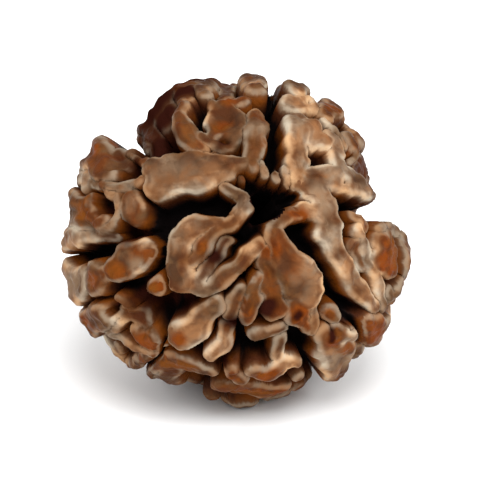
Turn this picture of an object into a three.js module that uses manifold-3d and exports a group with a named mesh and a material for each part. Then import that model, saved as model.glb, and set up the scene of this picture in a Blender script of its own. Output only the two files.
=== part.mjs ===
import * as THREE from "three";
import { mergeVertices } from "three/addons/utils/BufferGeometryUtils.js";
import Module from "manifold-3d";

// A three mukhi rudraksha bead, in millimetres, +Z up, as it lies on a table.
// It is one woody stone with a thread hole along its axis. Three clefts run from one
// hole mouth to the other, and lobes with deep grooves between them cover the rest.
// The seen face, with a hole mouth, leans back and looks up at FACE_ELEVATION to the front.

const WAIST_RADIUS = 8.5;        // centre to the lobe tops, square to the thread hole
const POLE_RADIUS = 7.7;         // centre to the lobe tops at a hole mouth
const GROOVE_DEPTH = 1.7;        // lobe tops to the groove floors
const SHOULDER_RADIUS = 0.4;     // rounding of a lobe's edge
const WALL_SLOPE = 4.0;          // fall of a lobe's side per millimetre outwards
const DISH_DEPTH = 0.12;         // sag of a broad lobe's middle below its rim
const DISH_REACH = 1.2;          // from a lobe's edge to the full sag
const BLEND = 0.25;              // reach over which neighbouring lobes share a height
const THREAD_HOLE_RADIUS = 0.85;
const CLEFT_DEPTH = 3.0;
const FACE_ELEVATION = 25;       // degrees
const VIEW_DISTANCE = 300;       // from which the face is drawn
const CENTRE = new THREE.Vector3(-0.025, 0.027, 7.75);  // of the bead, over the resting spot
const SPHERE_DETAIL = 22;        // splits of each icosahedron edge, less one
const HOLE_SIDES = 16;
const JOIN_GAP = 1e-5;           // corners nearer than this are one
const FAR_OUTSIDE = -2;          // stands for any greater distance from a lobe

const right = new THREE.Vector3(1, 0, 0);
const tilt = THREE.MathUtils.degToRad(FACE_ELEVATION);
const up = new THREE.Vector3(0, Math.sin(tilt), Math.cos(tilt));
const toward = new THREE.Vector3(0, -Math.cos(tilt), Math.sin(tilt));

// The thread hole's axis, out of the seen mouth, by its parts right, up and toward.
const HOLE_LEAN = [0.22, 0.255, 0.94];
const holeAxis = new THREE.Vector3()
  .addScaledVector(right, HOLE_LEAN[0])
  .addScaledVector(up, HOLE_LEAN[1])
  .addScaledVector(toward, HOLE_LEAN[2])
  .normalize();

// Each lobe is [rise of its top, then its middle line as [right, up, half-width] points],
// on a sheet through the centre and square to the view. Points past the rim of the bead
// run on round the back.
const UPPER_LEFT_LOBES = [
  [0.0, [-4.25, 3.75, 0.6], [-3.6, 3.2, 1.15], [-2.35, 3.5, 1.25], [-1.05, 3.75, 1.0],
    [-0.15, 4.1, 0.6], [0.6, 4.2, 0.45]],
  [-0.3, [-6.05, 4.7, 0.2], [-5.25, 4.45, 0.25], [-4.45, 3.95, 0.4]],
  [0.0, [1.05, 6.65, 0.45], [1.1, 6.0, 0.6], [1.05, 5.0, 0.6], [0.95, 4.1, 0.5]],
  [-0.45, [-0.65, 6.7, 0.8], [-0.45, 5.9, 1.25], [-0.65, 5.2, 1.0]],
  [-0.4, [0.45, 6.95, 0.35], [-0.25, 7.05, 0.4]],
  [-0.15, [1.05, 7.65, 0.7], [1.1, 8.4, 0.8], [1.2, 9.6, 0.8]],
  [-0.1, [-1.35, 7.15, 0.3], [-1.1, 6.6, 0.35], [-1.1, 5.9, 0.4]],
  [-0.15, [-1.6, 5.35, 0.45], [-1.1, 4.95, 0.35]],
  [-0.65, [-0.45, 7.35, 0.4], [-0.45, 8.2, 0.55], [-0.45, 9.25, 0.6]],
  [-1.1, [-3.85, 4.5, 0.45], [-4.05, 4.95, 0.6], [-4.4, 5.75, 0.7], [-5.0, 6.6, 0.85],
    [-6.15, 8.0, 1.1]],
  [-1.6, [-4.0, 4.25, 0.35], [-4.65, 4.9, 0.4], [-5.7, 6.0, 0.45], [-6.9, 7.25, 0.5]],
  [-0.65, [-3.45, 5.8, 0.4], [-4.05, 6.6, 0.7], [-4.85, 7.9, 1.1], [-5.65, 9.3, 1.2]],
  [-0.3, [-3.25, 6.4, 0.4], [-3.65, 7.3, 0.8], [-4.25, 8.6, 1.1], [-4.95, 9.9, 1.2]],
  [-0.1, [-2.55, 7.2, 0.4], [-2.6, 7.7, 0.7], [-2.85, 8.9, 1.0], [-3.15, 10.2, 1.1]],
  [-0.15, [-1.55, 7.5, 0.4], [-1.6, 7.9, 0.65], [-1.75, 9.1, 0.9], [-1.95, 10.3, 1.0]],
  [0.0, [-2.75, 6.85, 0.35], [-2.75, 6.1, 0.5], [-2.4, 5.35, 0.6], [-2.0, 4.75, 0.55]],
  [-0.5, [0.25, 3.1, 0.2]],
  [0.15, [-6.55, 3.4, 0.55], [-6.7, 3.85, 0.8], [-7.1, 4.25, 0.95], [-7.95, 4.75, 1.05],
    [-9.05, 5.45, 1.05]],
  [-0.15, [-6.95, 2.8, 0.25], [-7.45, 3.0, 0.35], [-8.25, 3.2, 0.4], [-9.25, 3.5, 0.4]],
  [-0.9, [-5.55, 4.2, 0.45], [-5.4, 3.6, 0.45]],
  [0.05, [-6.85, 2.65, 0.25], [-6.15, 2.8, 0.25], [-5.5, 3.0, 0.2], [-4.85, 3.1, 0.2]],
  [-0.5, [-5.85, 2.55, 0.2], [-5.15, 2.6, 0.2]],
  [0.0, [-6.85, 1.15, 0.55], [-7.35, 1.35, 0.9], [-8.05, 1.45, 1.0], [-9.0, 1.65, 1.05],
    [-10.25, 1.85, 1.05]],
  [0.1, [-6.7, 2.5, 0.2], [-6.25, 2.3, 0.2], [-6.1, 1.8, 0.2], [-6.25, 1.25, 0.2], [-6.7, 0.75, 0.25],
    [-7.35, 0.35, 0.25], [-8.05, 0.15, 0.3]],
  [0.25, [-8.25, 0.15, 0.45], [-8.85, 0.1, 0.7], [-10.0, 0.1, 0.8]],
  [0.0, [-5.5, 2.0, 0.65], [-5.3, 1.55, 0.85]],
  [-1.0, [-6.7, 0.4, 0.25], [-5.85, 0.2, 0.3]],
  [0.0, [-6.1, -1.5, 0.65], [-5.65, -1.1, 0.9], [-4.85, -0.6, 0.7]],
  [0.0, [-4.05, -2.35, 0.55]],
  [0.0, [-6.6, -1.7, 0.5], [-6.95, -1.9, 0.75], [-7.25, -2.05, 0.85]],
  [0.25, [-8.05, -2.2, 0.9], [-9.0, -2.4, 1.1], [-10.15, -2.6, 1.1]],
  [0.2, [-6.55, -3.8, 0.6], [-7.05, -4.0, 0.75], [-7.55, -4.25, 0.75], [-8.5, -4.7, 0.9],
    [-9.75, -5.25, 0.9]],
  [0.2, [-6.15, -3.1, 0.2], [-5.7, -3.5, 0.2], [-5.75, -4.0, 0.2], [-6.15, -4.4, 0.2],
    [-6.55, -4.75, 0.2]],
  [-0.8, [-5.25, -3.6, 0.45], [-4.5, -3.85, 0.5]],
  [-0.05, [-5.15, -4.8, 0.45], [-4.35, -5.1, 0.7]],
  [0.1, [-6.45, -4.85, 0.2], [-5.65, -5.3, 0.2], [-4.95, -5.75, 0.2], [-4.25, -5.9, 0.2],
    [-3.6, -5.6, 0.2]],
  [-0.1, [-7.1, -5.1, 0.2], [-6.45, -5.6, 0.2], [-5.7, -6.3, 0.2]],
  [-0.1, [-6.75, -5.9, 0.45], [-7.65, -6.75, 0.7], [-8.65, -7.75, 0.8]],
  [-0.1, [-5.75, -6.7, 0.4], [-6.5, -7.6, 0.7], [-7.25, -8.6, 0.8]],
];
const RIGHT_LOBES = [
  [-0.4, [1.45, 3.85, 0.2], [1.6, 3.25, 0.17]],
  [-0.4, [2.05, 3.8, 0.2], [2.2, 3.05, 0.17]],
  [-0.4, [2.65, 3.65, 0.2], [2.8, 2.9, 0.17]],
  [-0.35, [3.2, 3.4, 0.25], [3.4, 2.8, 0.25]],
  [0.0, [3.0, 7.0, 0.55], [3.65, 7.05, 0.65], [4.05, 6.8, 0.4]],
  [0.0, [3.15, 7.6, 0.65], [3.4, 8.6, 0.75], [3.65, 9.75, 0.7]],
  [0.0, [3.2, 6.25, 0.65], [3.15, 5.25, 0.65], [3.2, 4.25, 0.65], [3.4, 3.6, 0.6]],
  [0.05, [3.75, 5.75, 0.7], [4.05, 5.1, 0.75], [4.65, 4.9, 0.5]],
  [-0.05, [4.85, 5.0, 0.4], [5.2, 4.25, 0.45], [5.45, 3.5, 0.6]],
  [0.1, [4.45, 6.05, 0.2], [4.9, 5.55, 0.2], [5.4, 4.85, 0.25]],
  [0.1, [4.7, 6.4, 0.5], [5.15, 6.9, 0.65], [6.15, 8.0, 0.8]],
  [-0.2, [5.75, 5.0, 0.45], [6.05, 4.5, 0.45], [5.85, 4.1, 0.35]],
  [-0.35, [6.25, 5.3, 0.7], [7.25, 6.25, 0.9], [8.25, 7.1, 0.9]],
  [-0.3, [3.75, 3.25, 0.7], [4.75, 3.1, 0.85], [5.75, 3.0, 0.8], [6.4, 2.6, 0.6], [7.1, 2.35, 0.25]],
  [-0.9, [6.05, 3.6, 0.5], [7.05, 4.0, 0.75], [8.75, 4.9, 1.0], [10.75, 5.75, 1.2]],
  [-0.95, [6.55, 2.6, 0.45], [7.5, 2.8, 0.5], [9.0, 3.1, 0.65], [11.25, 3.6, 0.8]],
  [-0.25, [4.15, 2.75, 0.8], [4.5, 1.75, 0.85], [4.75, 0.9, 0.7], [4.6, 0.4, 0.6]],
  [0.0, [4.75, 0.7, 0.6], [5.15, -0.4, 0.6], [5.75, -1.4, 0.6], [6.35, -2.4, 0.6], [6.9, -3.25, 0.45]],
  [-0.4, [6.05, -0.15, 0.4], [6.55, -1.25, 0.35]],
  [0.0, [6.45, 0.5, 0.35], [6.9, -0.4, 0.35], [7.2, -1.5, 0.35], [7.35, -2.5, 0.35],
    [7.25, -3.25, 0.3]],
  [-0.3, [6.05, 1.2, 0.3], [6.65, 0.7, 0.3]],
  [0.2, [7.65, -0.15, 0.65], [7.65, -1.25, 0.65]],
  [0.25, [8.05, -0.2, 0.75], [8.05, -1.15, 0.75]],
  [0.0, [7.35, 0.65, 0.2], [7.9, 0.55, 0.2]],
  [-0.5, [7.55, 0.5, 0.3], [8.35, 0.6, 0.4], [9.5, 0.65, 0.5], [11.0, 0.7, 0.6]],
  [0.1, [8.55, -0.15, 0.45], [9.75, -0.15, 0.55], [11.0, -0.15, 0.6]],
  [0.35, [8.8, -1.15, 1.1], [9.75, -1.4, 1.3], [11.25, -1.6, 1.2]],
  [0.3, [8.25, -2.5, 0.6], [9.5, -2.9, 0.8], [11.0, -3.3, 0.8]],
  [0.0, [7.7, -2.6, 0.35], [7.75, -3.0, 0.3]],
  [0.45, [6.55, -4.45, 0.6], [7.05, -4.6, 0.75], [8.25, -5.1, 0.9], [9.5, -5.6, 0.9]],
];
const LOWER_LOBES = [
  [-0.3, [1.85, 0.6, 0.35], [2.45, 1.05, 0.3], [3.25, 1.5, 0.35], [4.15, 1.6, 0.5]],
  [0.0, [1.95, 0.3, 0.5], [2.35, -0.5, 0.7], [2.9, -1.4, 1.05], [3.45, -2.2, 1.25], [3.7, -2.8, 0.95]],
  [0.0, [3.75, -2.25, 0.7], [4.3, -2.65, 0.35]],
  [-0.35, [1.45, -0.6, 0.45], [1.65, -1.6, 0.65], [1.85, -2.6, 0.7], [2.05, -3.6, 0.7]],
  [0.0, [-0.65, 2.8, 0.25], [0.1, 2.45, 0.4], [0.45, 1.75, 0.45], [0.05, 1.2, 0.4], [-0.65, 0.7, 0.4],
    [-1.4, -0.1, 0.4], [-2.1, -1.0, 0.4]],
  [0.0, [-0.75, 0.9, 0.4], [-1.85, 0.7, 0.6], [-2.75, 0.1, 0.7], [-2.85, -0.9, 0.7],
    [-2.65, -1.9, 0.7], [-1.75, -2.4, 0.45]],
  [0.0, [1.2, -0.25, 0.45], [0.55, -1.0, 0.4], [-0.2, -1.65, 0.45], [-1.0, -2.25, 0.4],
    [-1.6, -2.6, 0.35]],
  [-0.8, [-0.35, -0.15, 0.3], [-1.15, -1.1, 0.35], [-1.6, -1.75, 0.35]],
  [0.0, [-2.85, -4.9, 0.75], [-2.25, -4.7, 0.85], [-1.5, -3.9, 0.55], [-0.9, -3.25, 0.4]],
  [0.0, [1.1, -2.1, 0.3], [0.95, -2.85, 0.45], [0.75, -3.55, 0.55], [0.55, -4.05, 0.4]],
  [-0.3, [0.25, -2.6, 0.35], [-0.15, -3.3, 0.4], [-0.35, -3.9, 0.4]],
  [-0.5, [-0.45, -4.5, 0.35], [-0.65, -5.0, 0.35]],
  [-0.1, [-0.55, -5.5, 0.45], [-1.15, -5.9, 0.35]],
  [-0.15, [3.1, -3.5, 0.7], [3.4, -4.1, 0.65], [3.65, -4.5, 0.45]],
  [0.05, [4.1, -3.4, 0.25], [4.1, -4.25, 0.25], [4.0, -4.75, 0.25]],
  [0.05, [4.9, -3.8, 0.45], [5.3, -4.05, 0.3]],
  [0.1, [4.55, -4.8, 0.4], [4.9, -5.25, 0.75], [5.1, -5.75, 0.9], [5.5, -6.4, 1.0], [6.5, -7.5, 1.1]],
  [0.1, [5.15, -4.6, 0.4], [5.8, -4.95, 0.4]],
  [0.0, [5.45, -5.3, 0.45], [5.85, -5.8, 0.7], [6.85, -6.9, 0.9]],
  [-0.4, [2.2, -5.1, 0.35], [2.25, -5.75, 0.4]],
  [-0.5, [1.05, -4.65, 0.3], [1.75, -4.65, 0.3], [2.45, -4.45, 0.3]],
  [0.0, [1.05, -6.65, 0.45], [1.65, -6.8, 0.5], [2.5, -6.35, 0.4], [3.15, -6.45, 0.3]],
  [-0.1, [3.3, -7.1, 0.35]],
  [-0.05, [-0.1, -6.55, 0.4], [0.15, -7.2, 0.4]],
  [-0.35, [3.25, -7.65, 0.4], [3.85, -8.4, 0.7], [4.35, -9.4, 0.8]],
  [-0.2, [-0.65, -7.65, 0.45], [0.25, -7.8, 0.6], [1.35, -7.85, 0.65], [2.35, -7.7, 0.5]],
  [-0.2, [0.25, -8.6, 1.0], [0.5, -10.0, 1.1]],
  [-0.25, [2.25, -8.3, 0.7], [2.65, -9.6, 0.8]],
  [-0.3, [-4.45, -6.1, 0.65], [-3.35, -6.2, 0.7], [-2.25, -6.4, 0.65], [-1.4, -6.7, 0.5]],
  [-0.4, [-4.25, -6.1, 0.6], [-4.6, -6.7, 0.9], [-5.35, -8.1, 1.2]],
  [-0.65, [-3.15, -6.4, 0.6], [-3.45, -7.2, 0.9], [-3.95, -8.75, 1.2]],
  [-0.9, [-2.25, -7.2, 0.7], [-2.25, -8.25, 1.1], [-2.25, -9.5, 1.2]],
  [-0.3, [-4.85, -6.2, 0.45], [-5.35, -6.9, 0.5]],
];
// Three broad lobes that the bead rests on, round the foot of its centre.
const RESTING_LOBES = [
  [0.1, [-3.6, -10.9, 0.7], [-3.2, -12.4, 0.75]],
  [0.1, [3.6, -11.0, 0.7], [3.0, -12.6, 0.75]],
  [0.1, [-0.9, -14.0, 0.6], [0.9, -13.8, 0.7]],
];

// Pits sunk in the lobes, as [depth, then points like a lobe's].
const PITS = [
  [2.2, [-1.7, 6.85, 0.35], [-1.8, 6.4, 0.4], [-1.75, 5.95, 0.3]],
  [0.8, [-0.65, 5.45, 0.35]],
  [0.7, [-1.4, 5.0, 0.07], [-0.5, 4.65, 0.1], [0.4, 4.95, 0.07]],
  [0.8, [-3.5, 5.35, 0.4]],
  [1.0, [-4.95, 4.5, 0.2], [-5.9, 5.4, 0.35], [-7.0, 6.4, 0.5], [-8.5, 7.75, 0.5]],
  [0.5, [3.7, 7.05, 0.12]],
  [0.4, [3.25, 6.6, 0.12]],
  [1.3, [3.9, 4.3, 0.23], [4.3, 4.45, 0.25], [4.7, 4.25, 0.2]],
  [1.2, [5.55, 4.15, 0.2], [6.05, 4.4, 0.2]],
  [0.5, [5.55, 2.95, 0.15]],
  [1.2, [5.65, 1.55, 0.25], [6.1, 1.7, 0.2]],
  [2.0, [6.55, 1.55, 0.35], [7.45, 1.5, 0.65], [9.25, 1.6, 0.85], [11.75, 1.85, 1.0]],
  [1.2, [7.8, -2.0, 0.25]],
  [2.0, [3.2, -4.9, 0.45], [3.3, -5.5, 0.45]],
  [2.0, [1.0, -5.6, 0.5], [1.35, -6.0, 0.4]],
  [1.2, [2.55, -7.2, 0.3]],
  [1.5, [-0.7, -6.5, 0.3]],
  [1.5, [-6.3, -3.6, 0.35]],
  [1.4, [-6.55, 1.8, 0.3], [-6.9, 1.9, 0.45], [-7.25, 2.0, 0.4]],
  [1.3, [-6.85, -0.7, 0.2], [-7.55, -0.85, 0.3], [-8.75, -0.9, 0.4], [-10.0, -0.9, 0.45]],
];

// The clefts, from the seen hole mouth outwards.
const CLEFTS = [
  [[2.15, 3.85, 0.35], [2.1, 5.0, 0.45], [2.1, 6.0, 0.4], [2.0, 6.9, 0.3], [1.9, 7.8, 0.3],
    [1.85, 9.0, 0.35]],
  [[-0.15, 1.85, 0.3], [-1.75, 1.7, 0.4], [-3.35, 1.4, 0.5], [-3.85, 0.5, 0.45], [-3.95, -0.75, 0.4],
    [-3.45, -1.75, 0.2], [-3.35, -2.75, 0.25], [-3.5, -3.75, 0.35], [-3.6, -4.5, 0.2],
    [-3.55, -5.4, 0.15]],
  [[3.15, 0.7, 0.3], [3.6, 0.0, 0.5], [4.25, -0.9, 0.4], [4.95, -2.0, 0.3], [5.5, -2.9, 0.35],
    [5.85, -3.75, 0.25], [6.25, -5.1, 0.2]],
];

// The seen hole mouth is a three-cornered pit.
const MOUTH_RISE = -0.5;
const MOUTH_MIDDLE = [1.85, 2.0, 0.8];
const MOUTH_CORNERS = [[0.8, 3.0, 0.45], [3.3, 2.5, 0.35], [0.9, 0.9, 0.35]];

function envelope(direction) {
  const along = direction.dot(holeAxis);
  const across = 1 - along * along;
  return 1 / Math.sqrt(along * along / POLE_RADIUS ** 2 + across / WAIST_RADIUS ** 2);
}

// The way from the centre to the surface point that shows at (u, v) on the sheet,
// found by trying again from each answer.
const LOOK_PASSES = 6;
function facing(u, v, rise) {
  const turn = Math.atan2(v, u);
  const direction = toward.clone();
  let lean = 0;
  for (let pass = 0; pass < LOOK_PASSES; pass++) {
    const radius = envelope(direction) + rise;
    const nearer = Math.max(radius * Math.cos(lean), 0) / VIEW_DISTANCE;
    const reach = Math.hypot(u, v) * (1 - nearer) / radius;
    lean = reach < 1 ? Math.asin(reach) : Math.PI / 2 + reach - 1;
    direction.set(0, 0, 0)
      .addScaledVector(right, Math.sin(lean) * Math.cos(turn))
      .addScaledVector(up, Math.sin(lean) * Math.sin(turn))
      .addScaledVector(toward, Math.cos(lean));
  }
  return direction;
}

function stroke(rise, points) {
  const line = points.map(([u, v, half]) => ({ at: facing(u, v, rise), half }));
  return { rise, line };
}

// Millimetres from a direction to the inside of a stroke's edge, less than 0 outside it.
const step = new THREE.Vector3();
const offset = new THREE.Vector3();
function insideStroke(direction, line) {
  let best = -Infinity;
  for (let i = 0; i < line.length; i++) {
    const from = line[i];
    const to = line[Math.min(i + 1, line.length - 1)];
    step.subVectors(to.at, from.at);
    offset.subVectors(direction, from.at);
    const length = step.lengthSq();
    const t = length > 0 ? THREE.MathUtils.clamp(offset.dot(step) / length, 0, 1) : 0;
    const half = from.half + t * (to.half - from.half);
    best = Math.max(best, half - offset.addScaledVector(step, -t).length() * WAIST_RADIUS);
  }
  return best;
}

const lobes = [...UPPER_LEFT_LOBES, ...RIGHT_LOBES, ...LOWER_LOBES, ...RESTING_LOBES]
  .map(([rise, ...points]) => stroke(rise, points));

// Each cleft runs on round the back, from its last drawn point to the far mouth.
const BACK_CLEFT_HALF = 0.3;
const BACK_CLEFT_STEPS = 6;
const farMouth = holeAxis.clone().negate();
const clefts = CLEFTS.map((points) => {
  const { line } = stroke(0, points);
  const last = line.at(-1).at;
  for (let i = 1; i <= BACK_CLEFT_STEPS; i++) {
    const at = last.clone().lerp(farMouth, i / BACK_CLEFT_STEPS).normalize();
    line.push({ at, half: BACK_CLEFT_HALF });
  }
  return line;
});

// The hidden side is filled with lobes of the same sort, grown from seeded draws.
const BACK_SEED = 7;
const BACK_TRIES = 3000;
const BACK_CLEAR = 0.16;         // least gap to the lobes already there
const BACK_HALF = [0.35, 0.75];  // half-width range
const BACK_SWELL = [0.8, 1.2];   // part of the half-width that a point takes
const BACK_STEP = 0.8;           // between a lobe's points
const BACK_POINTS = 5;           // at most, in one lobe
const BACK_RISE = [-0.5, 0.1];   // range of a top's step up or down
const FAR_MOUTH_RADIUS = 1.1;
const SEEN_LIMIT = 0.1;          // part toward the view past which nothing is grown

const DRAW_FACTOR = 1664525;
const DRAW_STEP = 1013904223;
let drawState = BACK_SEED;
function draw() {
  drawState = (Math.imul(drawState, DRAW_FACTOR) + DRAW_STEP) >>> 0;
  return drawState / 2 ** 32;
}

function crowding(direction) {
  let most = -Infinity;
  for (const { line } of lobes) most = Math.max(most, insideStroke(direction, line));
  for (const line of clefts) most = Math.max(most, insideStroke(direction, line));
  const mouthGap = FAR_MOUTH_RADIUS - direction.distanceTo(farMouth) * WAIST_RADIUS;
  return Math.max(most, mouthGap);
}

function growLobe() {
  const height = 2 * draw() - 1;
  const turn = 2 * Math.PI * draw();
  const ring = Math.sqrt(1 - height * height);
  const at = new THREE.Vector3(ring * Math.cos(turn), ring * Math.sin(turn), height);
  const rise = BACK_RISE[0] + (BACK_RISE[1] - BACK_RISE[0]) * draw();
  const half = BACK_HALF[0] + (BACK_HALF[1] - BACK_HALF[0]) * draw();
  const heading = new THREE.Vector3(draw() - 0.5, draw() - 0.5, draw() - 0.5);
  const line = [];
  while (line.length < BACK_POINTS) {
    if (at.dot(toward) > SEEN_LIMIT || crowding(at) > -half - BACK_CLEAR) break;
    line.push({ at: at.clone(), half: half * (BACK_SWELL[0] + (BACK_SWELL[1] - BACK_SWELL[0]) * draw()) });
    heading.add(new THREE.Vector3(draw() - 0.5, draw() - 0.5, draw() - 0.5));
    heading.addScaledVector(at, -heading.dot(at)).normalize();
    at.addScaledVector(heading, BACK_STEP / WAIST_RADIUS).normalize();
  }
  if (line.length > 0) lobes.push({ rise, line });
}
for (let i = 0; i < BACK_TRIES; i++) growLobe();

const cuts = [
  ...PITS.map(([depth, ...points]) => ({ depth, line: stroke(0, points).line })),
  ...MOUTH_CORNERS.map((corner) => ({
    depth: CLEFT_DEPTH,
    line: stroke(MOUTH_RISE, [MOUTH_MIDDLE, corner]).line,
  })),
  ...clefts.map((line) => ({ depth: CLEFT_DEPTH, line })),
  { depth: CLEFT_DEPTH, line: [{ at: farMouth, half: FAR_MOUTH_RADIUS }] },
];

// How far inside the edge of the raised part a direction is, the height of the tops
// there, and how deep the ground beside it may fall.
function relief(direction) {
  let inside = -Infinity;
  let weight = 0;
  let rise = 0;
  for (const lobe of lobes) {
    const own = insideStroke(direction, lobe.line);
    const share = Math.exp(Math.max(own, FAR_OUTSIDE) / BLEND);
    inside = Math.max(inside, own);
    weight += share;
    rise += share * lobe.rise;
  }
  let depth = GROOVE_DEPTH;
  for (const cut of cuts) {
    const outside = -insideStroke(direction, cut.line);
    if (outside < inside) {
      inside = outside;
      depth = cut.depth;
    }
  }
  return { inside, rise: rise / weight, depth };
}

// Height over a lobe's top level.
function profile(inside, depth) {
  if (inside < 0) return Math.max(-SHOULDER_RADIUS + WALL_SLOPE * inside, -depth);
  const short = Math.max(SHOULDER_RADIUS - inside, 0);
  const shoulder = Math.sqrt(SHOULDER_RADIUS ** 2 - short ** 2) - SHOULDER_RADIUS;
  return shoulder - DISH_DEPTH * THREE.MathUtils.smoothstep(inside, SHOULDER_RADIUS, DISH_REACH);
}

function surfaceRadius(direction) {
  const { inside, rise, depth } = relief(direction);
  return envelope(direction) + Math.max(rise + profile(inside, depth), -CLEFT_DEPTH);
}

// Slides a direction across a wall, to the nearer of the wall's top edge and its foot,
// so that the corners of the mesh lie along the outlines of the lobes.
const TOP_EDGE = 0.12;
const FOOT = -0.3;
const SLIDE_LIMIT = 0.2;
const PROBE = 0.05;
function slideToEdge(direction) {
  const here = relief(direction).inside;
  const target = here > (TOP_EDGE + FOOT) / 2 ? TOP_EDGE : FOOT;
  const move = target - here;
  if (Math.abs(move) > SLIDE_LIMIT) return;
  const side = new THREE.Vector3().crossVectors(direction, toward).normalize();
  const other = new THREE.Vector3().crossVectors(direction, side);
  const reach = PROBE / WAIST_RADIUS;
  const slope = [side, other].map((way) => {
    const probe = direction.clone().addScaledVector(way, reach).normalize();
    return (relief(probe).inside - here) / PROBE;
  });
  const steep = Math.max(Math.hypot(...slope), 1);
  direction
    .addScaledVector(side, move * slope[0] / steep / WAIST_RADIUS)
    .addScaledVector(other, move * slope[1] / steep / WAIST_RADIUS)
    .normalize();
}

function ball() {
  const geometry = new THREE.IcosahedronGeometry(1, SPHERE_DETAIL);
  geometry.deleteAttribute("normal");
  geometry.deleteAttribute("uv");
  return mergeVertices(geometry, JOIN_GAP);
}

function raisedBall() {
  const geometry = ball();
  const place = geometry.attributes.position;
  const direction = new THREE.Vector3();
  for (let i = 0; i < place.count; i++) {
    direction.fromBufferAttribute(place, i).normalize();
    slideToEdge(direction);
    let radius = surfaceRadius(direction);
    if (direction.z < 0) radius = Math.min(radius, CENTRE.z / -direction.z);
    place.setXYZ(i, direction.x * radius, direction.y * radius, direction.z * radius);
  }
  return geometry;
}

function threadHole() {
  const length = 3 * WAIST_RADIUS;
  const geometry = new THREE.CylinderGeometry(THREAD_HOLE_RADIUS, THREAD_HOLE_RADIUS, length, HOLE_SIDES);
  const lie = new THREE.Quaternion().setFromUnitVectors(new THREE.Vector3(0, 1, 0), holeAxis);
  geometry.applyQuaternion(lie);
  geometry.deleteAttribute("normal");
  geometry.deleteAttribute("uv");
  return mergeVertices(geometry, JOIN_GAP);
}

const wasm = await Module();
wasm.setup();

function solid(geometry) {
  return new wasm.Manifold(new wasm.Mesh({
    numProp: 3,
    vertProperties: Float32Array.from(geometry.attributes.position.array),
    triVerts: Uint32Array.from(geometry.index.array),
  }));
}

function geometryOf(body) {
  const { vertProperties, triVerts } = body.getMesh();
  const geometry = new THREE.BufferGeometry();
  geometry.setAttribute("position", new THREE.BufferAttribute(vertProperties, 3));
  geometry.setIndex(new THREE.BufferAttribute(triVerts, 1));
  geometry.computeVertexNormals();
  return geometry;
}

const pierced = solid(raisedBall()).subtract(solid(threadHole()));
const wood = new THREE.MeshStandardMaterial({ color: 0x8a5a3c, roughness: 0.55, metalness: 0 });
const bead = new THREE.Mesh(geometryOf(pierced), wood);
bead.name = "bead";
bead.position.copy(CENTRE);

const group = new THREE.Group();
group.add(bead);
export default group;
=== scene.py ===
import math

import bpy
import numpy as np
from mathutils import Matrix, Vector


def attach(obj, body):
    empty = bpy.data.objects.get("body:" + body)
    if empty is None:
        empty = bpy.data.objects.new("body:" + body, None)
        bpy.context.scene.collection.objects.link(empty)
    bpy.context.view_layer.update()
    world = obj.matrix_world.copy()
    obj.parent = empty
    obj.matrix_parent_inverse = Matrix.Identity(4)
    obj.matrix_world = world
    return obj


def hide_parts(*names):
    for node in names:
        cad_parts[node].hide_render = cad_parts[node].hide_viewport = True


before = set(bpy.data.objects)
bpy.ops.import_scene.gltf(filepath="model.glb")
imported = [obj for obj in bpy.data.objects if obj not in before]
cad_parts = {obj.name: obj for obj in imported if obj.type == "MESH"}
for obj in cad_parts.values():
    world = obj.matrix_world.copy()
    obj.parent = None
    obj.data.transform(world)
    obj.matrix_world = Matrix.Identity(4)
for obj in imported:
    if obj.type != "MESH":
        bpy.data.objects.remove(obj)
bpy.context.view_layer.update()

# A three mukhi rudraksha bead as it lies on a table. Shapes are worked out in
# millimetres round the centre of the bead, by the same rule and from the same lobes
# as its solid, on a much finer mesh, and set down in metres.

MM = 0.001
WAIST_RADIUS = 8.5        # centre to the lobe tops, square to the thread hole
POLE_RADIUS = 7.7         # centre to the lobe tops at a hole mouth
GROOVE_DEPTH = 1.9        # lobe tops to the groove floors
SHOULDER_RADIUS = 0.4     # rounding of a lobe's edge
WALL_SLOPE = 4.0          # fall of a lobe's side per millimetre outwards
DISH_DEPTH = 0.18         # sag of a broad lobe's middle below its rim
DISH_REACH = 0.8          # from the end of the rounded edge to the full sag
BLEND = 0.25              # reach over which neighbouring lobes share a height
WELD = 0.15               # reach over which overlapping strokes run together
LIP = 0.1                 # overhang of a lobe's edge over its side
THREAD_HOLE_RADIUS = 0.85
HOLE_WALL = 1.02          # corners within so many hole radii of its axis are on its wall
DRILL_LENGTH = 25.5
CLEFT_DEPTH = 3.0
FACE_ELEVATION = 25       # degrees
VIEW_DISTANCE = 300
LOOK_PASSES = 6           # rounds that settle where a line of sight meets the bead
CENTRE = np.array([-0.025, 0.027, 7.75])
SPHERE_SPLITS = 98        # parts of each icosahedron edge
JOIN_DIGITS = 6           # corners that agree to so many digits are one
HOLE_SIDES = 64
FAR_OUTSIDE = -2.0        # stands for any greater distance from a lobe
LEAST_WEIGHT = 1e-6       # keeps the shares of the lobes' heights from dividing by nothing
LEAST_GAP = 1e-9

tilt = math.radians(FACE_ELEVATION)
right = np.array([1.0, 0.0, 0.0])
up = np.array([0.0, math.sin(tilt), math.cos(tilt)])
toward = np.array([0.0, -math.cos(tilt), math.sin(tilt)])


def unit(vectors):
    return vectors / np.linalg.norm(vectors, axis=-1, keepdims=True)


def smooth(share):
    """Eases a share from 0 to 1 in and out."""
    return share * share * (3 - 2 * share)


def between(ends, share):
    return ends[0] + (ends[1] - ends[0]) * share


# The thread hole's axis, out of the seen mouth, by its parts right, up and toward.
HOLE_LEAN = (0.22, 0.255, 0.94)
hole_axis = unit(HOLE_LEAN[0] * right + HOLE_LEAN[1] * up + HOLE_LEAN[2] * toward)
far_mouth = -hole_axis

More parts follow.
